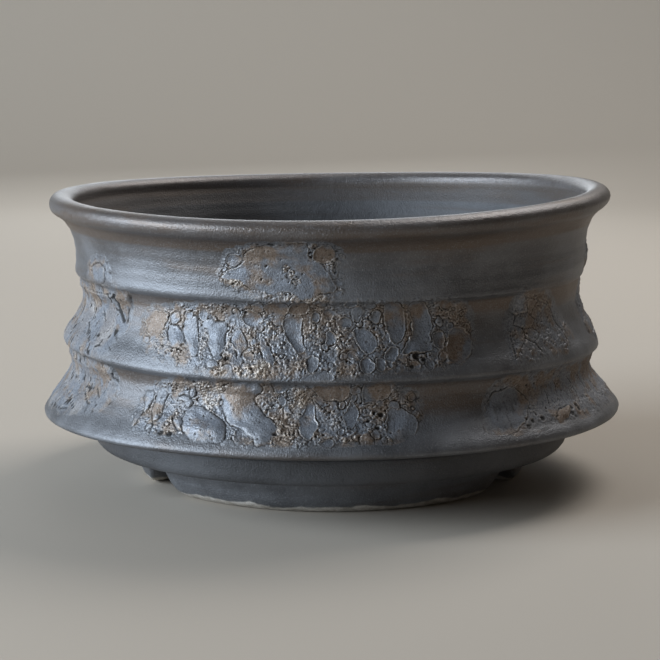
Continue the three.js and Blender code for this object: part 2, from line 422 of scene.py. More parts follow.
def stop_at(height):
    """How far up the wall's line a height above the lower ridge is, in millimetres."""
    return float(np.interp(height, outside_line[above_ridge, 1], line_stops[above_ridge]))


def on_line(stop, values):
    """A column of the wall's line at stops along it."""
    return np.interp(stop, line_stops, values)


def seen(x, height):
    """The angle in degrees, and the height, of a point that looks x millimetres from the pot's middle line
    from half a metre in front, at the scale of its nearest side."""
    radius = float(on_line(stop_at(height), outside_line[:, 0]))
    angle = 0.0
    for _ in range(5):
        nearness = (VIEW_DISTANCE - LOWER_RIDGE[0]) / (VIEW_DISTANCE - radius * math.cos(angle))
        angle = math.asin(x / nearness / radius)
    return math.degrees(angle), height


def as_seen(places):
    """The angles and heights of points, or of details that start with one."""
    return [(*seen(*place[:2]), *place[2:]) for place in places]


def oval(x, y, half_width, half_height, tilt=0):
    """Eight points round an oval."""
    turn = np.radians(np.arange(0, 360, 45))
    lean = math.radians(tilt)
    a, b = half_width * np.cos(turn), half_height * np.sin(turn)
    return list(zip(x + a * math.cos(lean) - b * math.sin(lean), y + a * math.sin(lean) + b * math.cos(lean)))


def closed_curve(points):
    """A smooth closed line through some points."""
    points = np.array(points)
    before, after, later = (np.roll(points, shift, axis=0) for shift in (1, -1, -2))
    part = np.linspace(0, 1, 6, endpoint=False)[:, None, None]
    line = points + part * (after - before) / 2
    line = line + part ** 2 * (2 * before - 5 * points + 4 * after - later) / 2
    line = line + part ** 3 * (3 * points - before - 3 * after + later) / 2
    return line.transpose(1, 0, 2).reshape(-1, 2)


def inside_line(across, up, line):
    """How far inside a closed line each point is, in millimetres, negative outside."""
    low, high = line.min(axis=0) - SLIP_REACH, line.max(axis=0) + SLIP_REACH
    near = (across > low[0]) & (across < high[0]) & (up > low[1]) & (up < high[1])
    x, y = across[near], up[near]
    apart = np.full(x.shape, np.inf)
    within = np.zeros(x.shape, bool)
    for (x0, y0), (x1, y1) in zip(line, np.roll(line, -1, axis=0)):
        dx, dy = x1 - x0, y1 - y0
        part = np.clip(((x - x0) * dx + (y - y0) * dy) / (dx * dx + dy * dy), 0, 1)
        apart = np.minimum(apart, np.hypot(x - x0 - part * dx, y - y0 - part * dy))
        within ^= ((y0 > y) != (y1 > y)) & ((x - x0) * abs(dy) < (y - y0) * dx * np.sign(dy))
    depth = np.full(across.shape, -SLIP_REACH)
    depth[near] = np.where(within, apart, -np.minimum(apart, SLIP_REACH))
    return depth


def field(across, up, size, seed):
    """Smooth noise from about -1 to 1 with blobs of this size in millimetres."""
    points = zip(across.ravel() / size, up.ravel() / size)
    return np.array([noise.noise((a, b, seed)) for a, b in points]).reshape(across.shape)


def bubbles(across, up, size, seed):
    """The distance to the nearest bubble's middle, in bubbles, and a number of that bubble's own."""
    near = np.empty(across.size)
    lot = np.empty(across.size)
    for k, (a, b) in enumerate(zip(across.ravel() / size, up.ravel() / size)):
        distances, middles = noise.voronoi((a, b, seed))
        near[k] = distances[0]
        lot[k] = (middles[0].x * 7.31 + middles[0].y * 3.77 + middles[0].z * 5.19) % 1
    return near.reshape(across.shape), lot.reshape(across.shape)


def blurred(relief, cells):
    """The relief smoothed over some cells of its grid."""
    weights = np.hanning(2 * cells + 3)[1:-1]
    weights /= weights.sum()
    for axis in (0, 1):
        pads = [(0, 0), (0, 0)]
        pads[axis] = (cells, cells)
        padded = np.pad(relief, pads, mode="edge")
        relief = np.apply_along_axis(np.convolve, axis, padded, weights, "valid")
    return relief


def bump_at(value, middle, width):
    """A round bump from 0 to 1 where a value is near a middle one."""
    return np.exp(-((value - middle) / width) ** 2)


def slip_relief(across, up, edges, plates, beds, pits, folds, frothy, seed):
    """The slip's height over the wall in millimetres, and how golden, cracked, brown and covered it is."""

    def spread(size, offset):
        return field(across, up, size, seed + offset)

    fine = spread(1.0, 9.1)
    patchy = spread(3.4, 7.7)
    a = across + 0.6 * spread(4.0, 0.3) + 0.4 * spread(1.6, 0.9) + 0.16 * fine
    b = up + 0.6 * spread(4.0, 5.3) + 0.4 * spread(1.6, 5.9) - 0.16 * fine
    border = np.max([inside_line(a, b, closed_curve(edge)) for edge in edges], axis=0)
    border = border + 0.7 * spread(2.2, 3.1)

    # The beds of beads.
    froth = 0.35 + 0.65 * smooth_step(-0.3, 0.3, spread(3.0, 6.1))
    golden = np.zeros(across.shape)
    for x, y, half_width, half_height, strength in beds:
        zone = smooth_step(-1.2, 0.8, inside_line(a, b, closed_curve(oval(x, y, half_width, half_height))))
        froth = np.maximum(froth, zone)
        golden = np.maximum(golden, strength * zone)

    # The plates: how far inside the nearest one each point is, with a rim and a crack along the plate's edge.
    best = np.full(across.shape, -SLIP_REACH)
    second = best.copy()
    tone = np.zeros(across.shape)
    proud = np.zeros(across.shape)
    for plate_tone, plate_proud, points in plates:
        depth = inside_line(a, b, closed_curve(points))
        nearer = depth > best
        second = np.where(nearer, best, np.maximum(second, depth))
        best = np.where(nearer, depth, best)
        tone = np.where(nearer, plate_tone, tone)
        proud = np.where(nearer, plate_proud, proud)
    inside = np.minimum(best, (best - second) / 2) - 5.0 * smooth_step(0.3, 0.5, golden)
    plate = smooth_step(-0.05, 0.3, inside)
    deep = np.clip(inside, 0, None)
    broken = smooth_step(-0.45, 0.25, spread(2.2, 8.3))
    seam = 0.12 + 0.1 * (1 - frothy)
    rim = bump_at(inside, 0.08, 0.12) * (0.2 + 0.8 * broken) * (1 - proud)
    crack = bump_at(inside, -0.08, seam) * smooth_step(-0.4 - 0.3 * proud, 0.2, patchy + 0.5 * fine)

    # The crumbs between the plates, some of them burst, and pinholes.
    froth *= frothy * (1 - plate)
    crumbs = np.zeros(across.shape)
    for size, tall in ((1.4, 0.16), (0.75, 0.25), (0.42, 0.16)):
        near, lot = bubbles(across + 0.5 * fine, up + 0.5 * patchy, size, seed + size)
        burst = 0.6 * bump_at(near, 0.42, 0.12) - 0.4 * bump_at(near, 0, 0.22)
        lump = np.sqrt(np.clip(1 - (near / 0.62) ** 2, 0, 1)) * (0.1 + 0.9 * lot)
        crumbs += tall * np.where(lot < 0.3, burst, lump)
    crumbs *= 0.45 + 1.1 * smooth_step(-0.4, 0.4, spread(2.0, 4.6))
    jagged = spread(0.45, 9.9)
    near, lot = bubbles(across + 0.3 * fine, up + 0.3 * patchy, 1.7 if folds else 1.2, seed + 17.0)
    pinhole = smooth_step(0.28 + 0.15 * folds, 0.12 + 0.15 * folds, near)
    pinhole *= lot < 0.12 + (0.25 + 0.3 * folds) * smooth_step(-0.2, 0.3, patchy)

    # Their heights together. Slip on the sides has slumped into folds, with pools in the two waists.
    rough = 0.06 * fine + 0.05 * patchy + 0.05 * jagged
    relief = 0.18 * spread(6.0, 1.4) + rough * (1 - 0.6 * plate)
    relief = relief + 0.16 * plate * spread(2.8, 2.7)
    relief = relief + proud * plate * (0.06 + 0.8 * (1 - np.exp(-deep / 2.4)))
    relief = relief - (1 - proud) * 0.24 * (1 - np.exp(-deep / 1.1))
    relief = relief + 0.24 * rim - 0.34 * crack + froth * (crumbs + 0.10 * jagged - 0.12)
    if folds:
        fold = field(across + 0.15 * up, up / 4, 4.2, seed + 12.3)
        dash = smooth_step(0.22, 0.34, field(across, up / 2.2, 1.0, seed + 14.2))
        dash = dash * smooth_step(-0.15, 0.2, patchy)
        pool = bump_at(up, stop_at(33.8), 2.2) + bump_at(up, stop_at(51.6), 2.2)
        relief = relief + folds * (fold * smooth_step(0.5, 4.0, border) + 2.2 * pool) - 0.3 * folds * dash
        golden = np.maximum(golden, min(0.2, 0.5 * folds) * smooth_step(-0.1, 0.4, fold + 0.3 * fine))
        crack = np.maximum(crack, min(1.0, 2.4 * folds) * dash)
    else:
        golden = golden * np.clip(0.1 + 2.5 * crumbs, 0, 1)
    hole = 0.8 * pinhole * (1 - 0.6 * plate)
    for x, y, radius in pits:
        apart = np.hypot(across + 0.3 * fine - x, up + 0.3 * patchy - y) - radius
        hole = np.maximum(hole, smooth_step(0.2, -0.15, apart))
    relief = relief - 0.4 * hole
    crack = np.maximum(crack, hole)

    # The slip thins towards its edge, and sinks into the wall beyond it.
    relief = SLIP_BASE * smooth_step(0.0, 4.0, border) + relief * smooth_step(0.0, 1.4, border)
    relief = np.maximum(relief, SLIP_LEAST * (0.2 + 0.8 * smooth_step(0.3, 1.5, border)))
    relief = SLIP_BURIED + (relief - SLIP_BURIED) * smooth_step(-1.2, 0.4, border)
    brown = (tone * tone + 0.85 * spread(5.5, 2.2)) * plate
    brown = brown + (1 - plate) * (0.15 + 0.3 * froth + 0.2 * smooth_step(-0.2, 0.4, patchy))
    golden = golden * (1 - plate) + 0.3 * rim
    cover = smooth_step(-0.3, 3.0, border)
    return relief, golden, crack * smooth_step(0.0, 0.6, border), brown * cover, cover


crackled_slip, tree, shader = new_finish("crackled_slip")
colour, rough, normal = glaze_layers(tree)
place = add_node(tree, "ShaderNodeTexCoord", {}).outputs["Object"]
clouds = grain(tree, place, 130, 4.0, 0.6)
mottle = grain(tree, place, 150, 3.0, 0.6)
film = maths(tree, "MULTIPLY", attribute(tree, "cover"), ramp(tree, clouds, 0.32, 0.65, 0.55, 1.0))
colour = blend_colour(tree, film, colour, SLIP_GREY)
brown = maths(tree, "ADD", attribute(tree, "brown"), ramp(tree, mottle, 0.32, 0.68, -0.6, 0.6))
colour = blend_colour(tree, ramp(tree, brown, 0.2, 1.0, 0.0, 0.9), colour, SLIP_BROWN)
gold = blend_colour(tree, ramp(tree, clouds, 0.45, 0.62), BEAD_GOLD, BEAD_CREAM)
golden = maths(tree, "MULTIPLY", attribute(tree, "gold"), ramp(tree, clouds, 0.35, 0.6, 0.35, 0.9))
colour = blend_colour(tree, golden, colour, gold)
# Crests standing above their surroundings are painted paler: painted highlight.
colour = blend_colour(tree, maths(tree, "MULTIPLY", attribute(tree, "crest"), 0.45), colour, CREST_PAINTED_HIGHLIGHT)
# Fine pale specks are painted glints, and fine dark specks painted shade in tiny pores.
pepper = grain(tree, place, 2100, 3.0, 0.7)
colour = blend_colour(tree, ramp(tree, pepper, 0.5, 0.7, 0.0, 0.5), colour, GLAZE_PAINTED_GLINT)
colour = blend_colour(tree, ramp(tree, pepper, 0.46, 0.30, 0.0, 0.6), colour, SLIP_PAINTED_SHADE)
# Cracks, pits and places sunk below their surroundings are darkened almost to black: painted shade.
colour = blend_colour(tree, attribute(tree, "crevice_shade"), colour, SLIP_PAINTED_SHADE)
gloss = ramp(tree, attribute(tree, "crest"), 0.0, 1.0, 0.0, 0.12)
gloss = maths(tree, "SUBTRACT", gloss, ramp(tree, attribute(tree, "matt"), 0.0, 1.0, 0.0, 0.24))
set_inputs(tree, shader, {
    "Base Color": colour,
    "Roughness": maths(tree, "SUBTRACT", rough, gloss),
    "Metallic": SLIP_METALLIC,
    "Normal": bump(tree, grain(tree, place, 1100, 3.0, 0.7), 0.06, normal),
})


def slip_patch(node, cell, seed, edges, plates=(), beds=(), pits=(), pitted=(), folds=0.0, frothy=1.0,
               filler=(0, 1.0, 1.0)):
    """One patch of one or more daubs. All its points are angles in degrees and heights. Fillers are plates of
    random size where there are none yet: how many to try, how large and how tall for their width."""
    angles, heights = np.concatenate(edges).T
    middle = math.radians((angles.min() + angles.max()) / 2)
    low, high = stop_at(heights.min()), stop_at(heights.max())
    radius = float(on_line((low + high) / 2, outside_line[:, 0]))
    half_length = math.radians(angles.max() - angles.min()) / 2 * radius

    def laid(places):
        return [((math.radians(turn) - middle) * radius, stop_at(up), *more) for turn, up, *more in places]

    edges = [laid(edge) for edge in edges]
    plates = [(tone, proud, laid(points)) for tone, proud, points in plates]
    pits = laid(pits)
    dice = random.Random(seed)
    for x, y, half_width, half_height, count in laid(pitted):
        for _ in range(count):
            spot = x + half_width * dice.uniform(-1, 1), y + half_height * dice.uniform(-1, 1)
            pits.append((*spot, dice.uniform(-0.05, 0.15)))
    tries, size, tall = filler
    taken = [(np.min(points, axis=0), np.max(points, axis=0)) for _, _, points in plates]
    for _ in range(tries):
        width = size * dice.uniform(0.8, 1.7) ** 2
        height = width * dice.uniform(0.7, 1.5) * tall
        x, y = dice.uniform(-half_length, half_length), dice.uniform(low, high)
        lean, tone, proud = dice.uniform(-25, 25), dice.random(), dice.random() ** (2 * frothy ** 2)
        reach = np.array((width, height))
        if all(np.hypot(*(((x, y) - (a + b) / 2) / (reach + (b - a) / 2))) > 0.9 for a, b in taken):
            plates.append((tone, proud, oval(x, y, width, height, lean)))
            taken.append(((x, y) - reach, (x, y) + reach))

    columns = math.ceil(2 * (half_length + SLIP_MARGIN) / cell)
    bottom = low - SLIP_MARGIN
    top = min(high + SLIP_MARGIN, line_stops[-1])
    rows = math.ceil((top - bottom) / cell)
    across, up = np.meshgrid(np.linspace(-half_length - SLIP_MARGIN, half_length + SLIP_MARGIN, columns + 1),
                             np.linspace(bottom, top, rows + 1))
    relief, golden, crack, brown, cover = slip_relief(
        across, up, edges, plates, laid(beds), pits, folds, frothy, seed)
    sunk = blurred(relief, round(CREVICE_REACH / cell)) - relief
    # The slip is made browner over the upper half of the patch.
    near_top = smooth_step(0.5, 1.0, (up - low) / (high - low))
    values = {
        "gold": golden,
        # Painted shade: near black in cracks, pits and the hollows between beads.
        "crevice_shade": np.clip(np.maximum(0.95 * crack, 0.9 * sunk / 0.14), 0, 1),
        # Crests: painted highlight in the colour, and more gloss.
        "crest": np.clip(-sunk / 0.12, 0, 1) * cover,
        # Faces turned downwards are browner: painted warm bounce light from below.
        "brown": brown + 0.4 * smooth_step(0.1, 0.7, np.gradient(relief, cell, axis=0)) + 0.5 * near_top * cover,
        "cover": cover,
        "matt": min(1.0, 8 * folds) * cover,
    }

    def on_wall(a, u, proud):
        out = on_line(u, outside_line[:, 0]) + proud * on_line(u, line_normals[:, 0])
        height = on_line(u, outside_line[:, 1]) + proud * on_line(u, line_normals[:, 1])
        return out, middle + a / radius, height

    bm = bmesh.new()
    layers = {name: bm.verts.layers.float.new(name) for name in values}
    places = np.stack(on_wall(across, up, relief), axis=-1)
    for vert in bmesh.ops.create_grid(bm, x_segments=columns, y_segments=rows, size=0.5)["verts"]:
        spot = round((vert.co.y + 0.5) * rows), round((vert.co.x + 0.5) * columns)
        for name, layer in layers.items():
            vert[layer] = values[name][spot]
        vert.co = hand_thrown(*places[spot])
    back_columns = round(columns * cell / BACK_GRAIN)
    back_rows = round(rows * cell / BACK_GRAIN)
    for vert in bmesh.ops.create_grid(bm, x_segments=back_columns, y_segments=back_rows, size=0.5)["verts"]:
        a = np.interp(vert.co.x, (-0.5, 0.5), across[0, [0, -1]])
        u = np.interp(vert.co.y, (-0.5, 0.5), up[[0, -1], 0])
        vert.co = hand_thrown(*on_wall(a, u, SLIP_BACK))
    bmesh.ops.bridge_loops(bm, edges=[edge for edge in bm.edges if edge.is_boundary])
    bmesh.ops.recalc_face_normals(bm, faces=bm.faces[:])
    finish_piece(bm, node + "_slip", crackled_slip, node)


def front_patch(node, seed, edge, plates, beds, pits, pitted, filler):
    """A patch whose details are placed as they look from the front."""
    plates = [(tone, proud, as_seen(points)) for tone, proud, points in plates]
    details = [as_seen(places) for places in (beds, pits, pitted)]
    slip_patch(node, FRONT_GRAIN, seed, [as_seen(edge)], plates, *details, filler=filler)


# The patches at the front. A plate is its tone from blue-grey to brown, how proud it stands from a pan to a
# lump, and its outline. A bed of beads is its middle, half width, half height and how golden it is, a pit
# its middle and radius, and a pitted place its middle, half width, half height and number of pits.
front_patch(
    "crust_lower_front", 1,
    edge=[(-46.4, 22.6), (-44.6, 27.0), (-42.0, 31.6), (-39.0, 34.2), (-35.0, 35.8), (-28.0, 36.4),
          (-18.0, 36.2), (-8.0, 35.8), (2.0, 36.4), (9.0, 36.4), (14.5, 36.0), (18.2, 34.4), (20.4, 31.6),
          (21.2, 27.8), (20.2, 24.0), (16.0, 22.2), (6.0, 21.6), (-6.0, 21.1), (-18.0, 20.9), (-29.0, 21.2),
          (-38.0, 21.4), (-44.0, 21.5)],
    plates=[
        (0.0, 1.0, [(-32.2, 27.7), (-30.6, 28.5), (-28.5, 28.3), (-26.6, 27.4), (-24.9, 26.2), (-23.9, 24.2),
                    (-24.4, 22.0), (-27.5, 21.4), (-31.5, 21.4), (-33.4, 22.6), (-33.6, 25.2)]),
        (0.3, 0.9, [(-24.2, 34.0), (-22.2, 35.6), (-19.2, 36.0), (-16.6, 35.6), (-15.6, 34.4), (-16.2, 32.6),
                    (-17.2, 31.0), (-15.4, 28.8), (-13.2, 26.1), (-12.4, 24.3), (-13.6, 22.3), (-16.2, 21.6),
                    (-18.2, 22.7), (-20.8, 24.2), (-23.2, 25.4), (-24.3, 27.6), (-24.6, 30.8)]),
        (0.5, 0.0, [(-13.6, 35.4), (-11.6, 36.2), (-9.6, 35.6), (-10.4, 34.2), (-12.2, 33.4)]),
        (1.0, 0.1, [(-4.6, 35.2), (-2.6, 36.0), (1.4, 36.2), (3.8, 36.0), (4.2, 34.6), (3.7, 32.4),
                    (2.4, 31.2), (-0.2, 31.7), (-2.0, 32.2), (-3.4, 33.8)]),
        (0.7, 0.0, [(7.8, 35.8), (9.8, 36.2), (12.6, 36.0), (13.7, 34.6), (12.8, 32.4), (10.1, 31.3),
                    (7.6, 30.9), (7.1, 33.0)]),
        (0.3, 0.1, [(4.8, 31.7), (5.9, 30.3), (6.5, 28.4), (5.9, 26.5), (5.0, 25.1), (3.9, 25.0), (3.0, 26.0),
                    (2.8, 27.8), (3.7, 29.8)]),
        (0.4, 0.0, [(-5.8, 31.0), (-4.6, 31.8), (-3.9, 29.9), (-3.4, 27.7), (-3.3, 25.0), (-5.0, 23.0),
                    (-6.6, 23.5), (-7.8, 25.5), (-7.3, 28.2)]),
        (0.0, 0.3, [(-4.2, 33.0), (-2.7, 32.8), (-1.1, 31.0), (-0.3, 30.2), (-2.2, 29.6), (-3.3, 31.0)]),
        (0.4, 0.1, [(12.9, 28.9), (15.6, 29.5), (17.4, 27.8), (19.3, 26.4), (19.8, 24.5), (18.4, 22.4),
                    (15.1, 21.9), (12.9, 23.4), (12.3, 26.2)]),
        (0.6, 1.0, [(-38.9, 32.2), (-36.8, 31.4), (-37.8, 28.5), (-39.0, 25.2), (-40.8, 24.2), (-40.6, 26.6),
                    (-39.6, 29.4)]),
        (0.5, 1.0, [(-46.0, 23.0), (-44.2, 25.4), (-42.6, 26.2), (-43.6, 24.4), (-45.6, 22.7)]),
        (0.1, 1.0, [(-41.6, 30.6), (-40.2, 31.0), (-40.8, 27.6), (-42.4, 25.8), (-42.6, 28.2)]),
        (0.7, 1.0, oval(-33.0, 29.6, 1.8, 1.6)), (0.5, 1.0, oval(-34.6, 25.0, 1.1, 1.8, 20)),
    ],
    beds=[(-27.0, 32.4, 2.6, 4.4, 0.9), (-34.4, 27.2, 1.6, 2.4, 0.6), (-11.0, 29.5, 4.0, 6.0, 0.25),
          (-7.6, 31.4, 2.0, 3.8, 0.8), (-10.5, 22.8, 3.0, 1.5, 0.5), (-9.6, 25.6, 2.6, 3.0, 0.45),
          (0.2, 26.6, 2.6, 1.9, 0.4), (2.0, 22.6, 8.5, 1.3, 0.15), (5.6, 34.0, 1.0, 2.6, 0.2),
          (16.8, 32.4, 3.4, 3.0, 0.1), (9.6, 26.2, 2.8, 3.2, 0.1), (-20.0, 22.4, 2.4, 1.0, 0.5)],
    pits=[(-39.1, 22.4, 0.7), (-37.0, 22.4, 0.7), (9.7, 28.1, 0.5), (11.3, 27.8, 0.5), (8.4, 26.4, 0.4),
          (10.6, 24.9, 0.5), (-31.2, 34.8, 0.5), (-12.8, 23.6, 0.4)],
    pitted=[(-37.0, 33.0, 4.5, 2.0, 14), (-40.0, 24.6, 3.5, 2.6, 10), (-29.5, 24.5, 3.4, 2.6, 10),
            (-14.0, 22.4, 4.0, 1.0, 6), (4.0, 22.6, 9.0, 1.0, 8), (16.0, 23.6, 4.0, 1.6, 10)],
    filler=(260, 0.6, 1.0),
)
front_patch(
    "crust_upper_front", 2,
    edge=[(-43.4, 46.0), (-42.4, 49.2), (-40.4, 51.2), (-36.0, 52.4), (-27.8, 53.4), (-20.0, 54.0),
          (-16.0, 55.0), (-9.0, 55.2), (-2.0, 54.6), (7.0, 54.4), (13.0, 54.6), (19.0, 54.8), (25.5, 54.8),
          (30.0, 53.8), (32.4, 50.5), (32.8, 46.0), (32.0, 41.5), (29.0, 38.8), (22.0, 38.0), (13.0, 37.8),
          (5.0, 36.8), (-5.0, 36.2), (-15.0, 36.0), (-23.0, 36.2), (-30.0, 37.0), (-37.0, 38.0),
          (-41.5, 39.6), (-43.4, 42.4)],
    plates=[
        (0.9, 0.2, [(-41.6, 49.5), (-39.5, 50.1), (-37.1, 49.8), (-36.6, 48.3), (-38.4, 45.0), (-40.0, 43.2),
                    (-41.6, 44.5), (-42.0, 47.4)]),
        (0.2, 0.9, [(-36.5, 46.0), (-35.2, 46.8), (-33.8, 46.2), (-33.2, 44.8), (-33.0, 42.8), (-34.2, 41.8),
                    (-35.9, 41.9), (-36.5, 43.5)]),
        (0.0, 0.7, [(-33.0, 48.4), (-31.0, 49.0), (-29.9, 48.8), (-30.0, 46.0), (-29.6, 43.6), (-30.0, 41.2),
                    (-31.1, 40.6), (-32.4, 42.2), (-33.2, 45.5)]),
        (0.0, 0.8, [(-28.7, 48.2), (-26.5, 48.7), (-24.0, 48.4), (-23.6, 46.8), (-24.1, 44.9), (-23.9, 43.0),
                    (-25.0, 40.7), (-26.4, 40.6), (-27.4, 42.9), (-28.5, 45.5)]),
        (0.0, 0.5, [(-21.3, 46.8), (-20.0, 46.0), (-19.0, 43.4), (-20.3, 41.3), (-21.0, 40.2), (-21.6, 42.3),
                    (-22.4, 44.4)]),
        (0.2, 0.0, [(-11.2, 49.7), (-9.4, 50.6), (-6.8, 50.8), (-6.6, 48.0), (-6.3, 45.8), (-5.9, 43.2),
                    (-6.8, 41.7), (-8.3, 42.1), (-9.4, 44.2), (-10.8, 47.4)]),
        (0.4, 0.6, [(-15.9, 45.0), (-14.8, 44.6), (-13.7, 43.0), (-12.6, 40.4), (-12.6, 39.1), (-13.6, 38.3),
                    (-14.9, 38.6), (-15.5, 41.8)]),
        (0.0, 0.1, [(5.2, 47.4), (7.6, 47.8), (9.2, 46.4), (9.9, 44.6), (9.4, 42.4), (8.0, 42.0), (6.3, 43.6),
                    (5.0, 45.6)]),
        (0.5, 0.0, [(12.2, 53.4), (15.3, 53.8), (16.3, 51.5), (17.0, 48.5), (16.0, 45.3), (14.5, 44.0),
                    (12.9, 44.8), (12.0, 47.5), (11.6, 51.5)]),
        (0.5, 0.0, [(18.0, 53.6), (19.5, 54.0), (21.2, 53.6), (22.0, 51.0), (22.6, 48.0), (22.0, 45.4),
                    (22.8, 43.0), (21.4, 41.9), (18.2, 42.0), (16.3, 41.4), (16.5, 43.6), (17.8, 46.2),
                    (18.3, 48.7), (17.6, 51.0)]),
        (0.4, 0.0, [(11.9, 41.8), (13.4, 43.4), (15.2, 43.3), (15.6, 42.3), (14.6, 40.7), (12.9, 40.1)]),
        (0.6, 0.1, oval(-17.8, 49.8, 2.2, 2.0)), (0.9, 0.0, oval(-12.5, 52.4, 2.9, 2.0)),
        (0.9, 0.0, oval(-7.4, 52.6, 2.4, 1.5)), (0.3, 0.0, oval(-4.4, 39.8, 1.6, 1.7)),
        (0.2, 0.0, oval(-3.4, 50.4, 1.2, 1.4)), (0.6, 0.0, oval(-0.5, 51.1, 1.1, 1.5)),
        (0.1, 0.0, oval(-0.2, 45.4, 1.5, 1.5)), (0.5, 0.0, oval(8.0, 39.6, 1.7, 1.5)),
        (0.5, 0.0, oval(11.1, 39.8, 1.4, 1.4)), (0.5, 0.0, oval(4.7, 41.9, 1.4, 1.2)),
        (0.5, 0.0, oval(28.8, 43.1, 3.0, 4.0)), (0.6, 0.0, oval(24.1, 44.5, 1.5, 2.0)),
        (0.7, 0.0, oval(25.6, 52.8, 1.5, 1.6)), (0.1, 0.2, oval(-3.2, 37.3, 4.0, 1.0)),
        (0.1, 0.8, oval(-27.0, 38.6, 1.8, 1.3)),
    ],
    beds=[(-38.6, 42.2, 2.6, 1.6, 0.8), (-28.6, 43.5, 1.0, 3.6, 0.5), (-23.0, 44.0, 0.8, 4.0, 0.3),
          (-17.5, 38.2, 4.4, 2.0, 1.0), (-27.0, 37.4, 4.0, 1.2, 0.5), (-16.0, 44.5, 4.2, 4.0, 0.25),
          (-13.4, 48.6, 2.2, 1.8, 0.15), (0.0, 47.0, 5.6, 6.0, 0.3), (8.0, 50.8, 4.2, 3.0, 0.1),
          (10.8, 47.5, 1.4, 3.0, 0.1), (3.4, 38.6, 2.4, 1.8, 0.6), (25.2, 49.6, 2.8, 2.8, 0.15),
          (25.0, 40.2, 2.6, 2.0, 0.2), (-9.6, 39.4, 3.4, 1.8, 0.5)],
    pits=[(19.1, 41.2, 0.8), (20.9, 40.6, 0.5), (18.2, 39.2, 0.45), (-23.6, 40.6, 0.5), (-19.2, 51.2, 0.4)],
    pitted=[(-37.5, 40.4, 5.0, 2.0, 26), (-35.0, 51.4, 6.0, 1.0, 16), (-24.0, 52.4, 6.0, 1.0, 14),
            (-27.0, 39.0, 4.0, 1.5, 8), (15.0, 39.0, 6.0, 1.0, 10), (-42.4, 44.0, 0.8, 3.0, 6)],
    filler=(320, 0.6, 1.0),
)
front_patch(
    "crust_collar_front", 3,
    edge=[(-26.0, 60.0), (-25.0, 63.4), (-23.6, 66.4), (-19.6, 68.6), (-14.0, 69.2), (-8.0, 69.4),
          (-3.0, 69.2), (1.6, 68.4), (3.4, 66.0), (3.0, 61.5), (3.0, 56.8), (0.5, 54.2), (-6.0, 53.0),
          (-12.0, 53.2), (-17.0, 54.2), (-22.0, 55.4), (-25.4, 57.4)],
    plates=[
        (0.3, 0.4, [(-24.4, 59.2), (-22.7, 61.1), (-21.0, 61.9), (-19.6, 62.9), (-19.4, 64.6), (-19.5, 66.0),
                    (-18.4, 67.1), (-16.3, 67.9), (-13.7, 68.3), (-11.5, 68.6), (-8.8, 68.6), (-5.8, 68.5),
                    (-4.9, 67.8), (-5.4, 65.9), (-4.3, 64.7), (-2.5, 63.6), (-1.2, 62.2), (-0.2, 60.6),
                    (0.3, 59.0), (1.3, 57.4), (-0.6, 56.4), (-2.9, 55.8), (-4.4, 55.1), (-5.9, 54.7),
                    (-7.9, 55.2), (-9.2, 56.2), (-10.4, 56.5), (-11.5, 56.3), (-13.0, 55.4), (-14.5, 55.6),
                    (-16.4, 56.4), (-17.5, 57.0), (-19.0, 58.0), (-20.3, 57.8), (-21.3, 57.0), (-22.2, 57.2),
                    (-21.9, 58.2), (-21.5, 58.8), (-22.8, 58.7)]),
        (0.7, 0.0, oval(-21.7, 63.9, 1.7, 1.8, -20)), (1.0, 0.1, oval(-1.6, 66.0, 2.7, 2.5)),
        (0.4, 0.0, oval(1.5, 62.8, 0.5, 1.3)), (0.4, 0.0, oval(2.5, 65.6, 0.5, 0.6)),
        (0.4, 0.0, oval(-24.4, 67.2, 0.5, 0.5)), (0.4, 0.0, oval(-24.9, 62.0, 0.5, 0.5)),
    ],
    beds=[(-21.4, 58.2, 1.6, 0.8, 0.9), (-16.4, 55.8, 2.0, 0.9, 0.7), (-13.6, 54.8, 1.4, 0.7, 0.7),
          (-11.2, 55.3, 1.0, 1.0, 0.9), (-8.6, 54.6, 1.3, 0.8, 0.9), (-4.9, 54.4, 1.0, 0.7, 0.7),
          (-2.4, 55.2, 1.6, 0.5, 0.4), (-10.2, 62.5, 1.0, 1.2, 0.6), (-9.0, 61.0, 1.1, 1.3, 0.6),
          (-7.6, 59.4, 1.2, 1.1, 0.6), (-9.0, 69.0, 2.4, 0.4, 0.5), (0.4, 63.6, 0.7, 1.6, 0.4)],
    pits=[(-16.7, 68.4, 0.35), (-13.9, 68.5, 0.4), (-13.3, 68.4, 0.3), (-3.6, 67.6, 0.35), (-4.7, 66.4, 0.4),
          (-4.6, 65.2, 0.3), (1.1, 66.8, 0.35), (1.4, 64.6, 0.35), (-21.8, 58.3, 0.3), (0.9, 61.2, 0.3)],
    pitted=[(-23.6, 65.0, 1.2, 1.6, 5), (-9.0, 68.4, 6.0, 0.3, 8), (-16.4, 61.0, 2.4, 2.6, 10),
            (-8.6, 61.0, 2.4, 2.4, 8)],
    filler=(60, 0.5, 1.0),
)


def splits(*lines):
    """Pits side by side along lines as they look from the front. Each line starts with its pits' radius."""
    pits = []
    for radius, *points in lines:
        pits += [(*spot, radius) for spot in even_line(np.array(points), PIT_SPACING)]
    return as_seen(pits)


